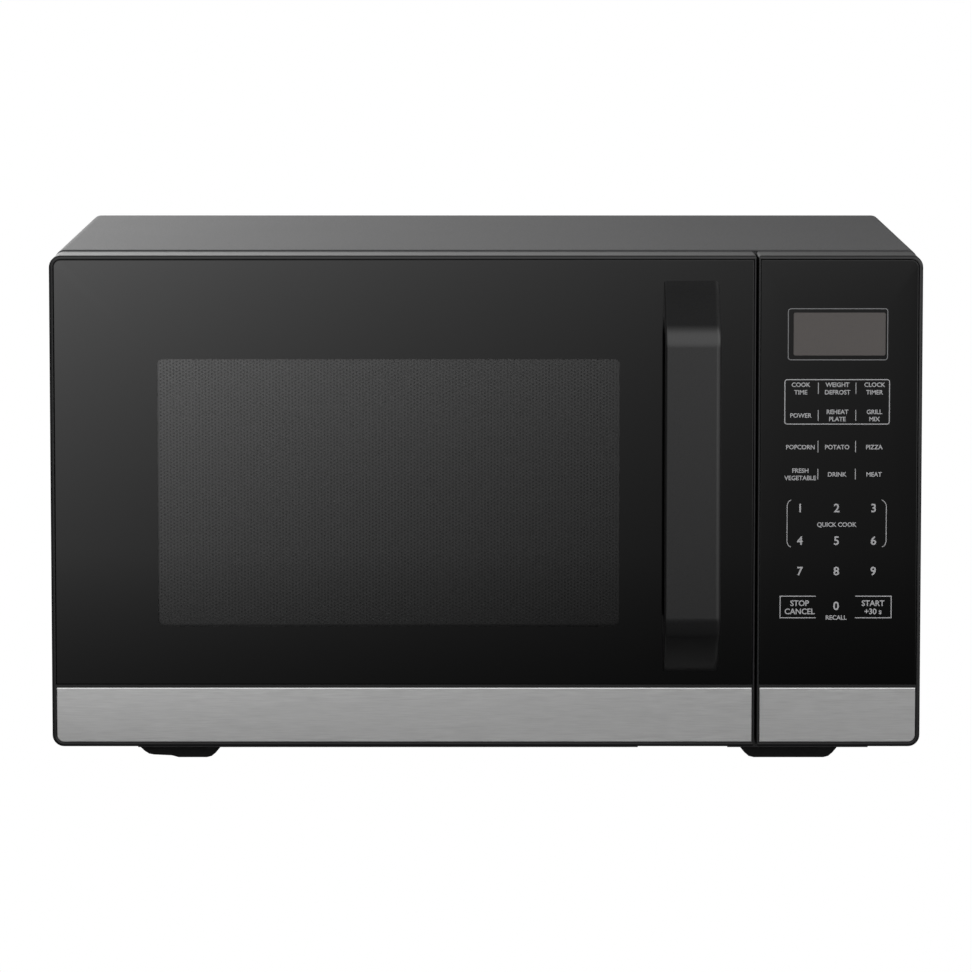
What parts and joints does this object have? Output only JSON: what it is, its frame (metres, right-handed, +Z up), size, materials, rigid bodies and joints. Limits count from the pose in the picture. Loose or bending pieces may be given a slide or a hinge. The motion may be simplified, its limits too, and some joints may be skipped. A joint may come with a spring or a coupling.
{
  "type": "microwave oven",
  "caption": "Countertop microwave oven with a side-hinged glass door and bar handle, a touch control panel, a turntable, a grill element and its full inner workings.",
  "frame": {"origin": "on the worktop, at the middle of the whole oven's footprint, handle and rear spacers included", "axes": "+X to the right of a person facing the door, +Y towards the back, +Z up"},
  "size_m": [0.483, 0.384, 0.2868],
  "materials": {
    "black_plastic": "satin moulded black",
    "handle_plastic": "satin dark grey",
    "front_glass": "polished, tinted black",
    "clear_glass": "polished clear",
    "display_lens": "smoked, smooth",
    "steel_trim": "brushed along the width",
    "cabinet_paint": "fine-textured dark grey powder coat",
    "cavity_paint": "satin grey enamel",
    "screen_paint": "perforated sheet, satin dark grey",
    "zinc_sheet": "plain zinc-plated sheet",
    "bright_steel": "bright plated",
    "grey_plastic": "satin dark grey",
    "white_plastic": "satin off-white",
    "black_rubber": "moulded",
    "circuit_board": "green solder mask",
    "dark_parts": "moulded housings",
    "copper_wire": "varnished copper winding",
    "core_steel": "varnished laminations",
    "aluminium": "plain",
    "mica": "mottled mica sheet",
    "heater": "heat-darkened sheath"
  },
  "bodies": {
    "oven": {"panel_housing": "black_plastic", "panel_glass": "front_glass", "panel_trim": "steel_trim", "display_lens": "display_lens", "display_module": "dark_parts", "keypad_film": "grey_plastic", "control_board": "circuit_board", "board_components": "dark_parts", "board_screws": "bright_steel", "cabinet_cover": "cabinet_paint", "base_plate": "cabinet_paint", "rear_panel": "zinc_sheet", "rear_spacers": "black_rubber", "face_plate": "cavity_paint", "cavity_wrap": "cavity_paint", "cavity_back": "cavity_paint", "feet": "black_rubber", "cover_screws": "bright_steel", "cord_gland": "black_rubber", "hinge_upper": "bright_steel", "hinge_lower": "bright_steel", "hinge_screws": "bright_steel", "waveguide": "zinc_sheet", "waveguide_cover": "mica", "magnetron_yoke": "zinc_sheet", "magnetron_core": "aluminium", "magnetron_filter": "zinc_sheet", "transformer_core": "core_steel", "transformer_coils": "copper_wire", "capacitor": "aluminium", "capacitor_clamp": "zinc_sheet", "diode": "dark_parts", "fan_shroud": "grey_plastic", "fan_motor": "core_steel", "oven_lamp": "clear_glass", "lamp_holder": "white_plastic", "latch_board": "white_plastic", "interlock_switches": "dark_parts", "filter_board": "circuit_board", "thermal_cutouts": "dark_parts", "grill_element": "heater", "turntable_motor": "zinc_sheet"},
    "door": {"door_frame": "black_plastic", "door_glass": "front_glass", "door_trim": "steel_trim", "door_handle": "handle_plastic", "handle_screws": "bright_steel", "door_screen": "screen_paint", "door_panel": "cavity_paint", "inner_window": "clear_glass", "choke_cover": "grey_plastic", "latch_spring": "bright_steel"},
    "latch": {"latch_hook": "white_plastic"},
    "fan": {"fan_blade": "white_plastic"},
    "coupler": {"turntable_coupler": "grey_plastic"},
    "tray": {"glass_tray": "clear_glass"},
    "ring": {"roller_ring": "white_plastic"},
    "roller_a": {"roller_1": "white_plastic"},
    "roller_b": {"roller_2": "white_plastic"},
    "roller_c": {"roller_3": "white_plastic"}
  },
  "joints": [
    {"name": "door_swing", "type": "hinge", "parent": "oven", "child": "door", "pos_m": [-0.2325, -0.14, 0.149], "axis": [0, 0, -1], "range_deg": [0, 100]},
    {"name": "latch_lift", "type": "slide", "parent": "door", "child": "latch", "axis": [0, 0, 1], "range_m": [0, 0.005], "stiffness_N_per_m": 300, "springref_m": -0.006, "deforming": ["latch_spring"]},
    {"name": "fan_spin", "type": "hinge", "parent": "oven", "child": "fan", "pos_m": [0.18225, 0.152, 0.194], "axis": [0, 1, 0], "continuous": true},
    {"name": "turntable_spin", "type": "hinge", "parent": "oven", "child": "coupler", "pos_m": [-0.054, 0.02045, 0.044], "axis": [0, 0, 1], "continuous": true},
    {"name": "tray_lift", "type": "slide", "parent": "coupler", "child": "tray", "axis": [0, 0, 1], "range_m": [0, 0.06]},
    {"name": "ring_spin", "type": "hinge", "parent": "oven", "child": "ring", "pos_m": [-0.054, 0.02045, 0.052], "axis": [0, 0, 1], "continuous": true},
    {"name": "roller_a_roll", "type": "hinge", "parent": "ring", "child": "roller_a", "pos_m": [0.04345, 0.02045, 0.05205], "axis": [1, 0, 0], "continuous": true},
    {"name": "roller_b_roll", "type": "hinge", "parent": "ring", "child": "roller_b", "pos_m": [-0.10272, 0.10484, 0.05205], "axis": [-0.5, 0.866, 0], "continuous": true},
    {"name": "roller_c_roll", "type": "hinge", "parent": "ring", "child": "roller_c", "pos_m": [-0.10272, -0.06394, 0.05205], "axis": [-0.5, -0.866, 0], "continuous": true}
  ],
  "couplings": [
    {"joint": "ring_spin", "follows": "turntable_spin", "ratio": 0.5},
    {"joint": "roller_a_roll", "follows": "turntable_spin", "ratio": -6.0906},
    {"joint": "roller_b_roll", "follows": "turntable_spin", "ratio": -6.0906},
    {"joint": "roller_c_roll", "follows": "turntable_spin", "ratio": -6.0906}
  ]
}
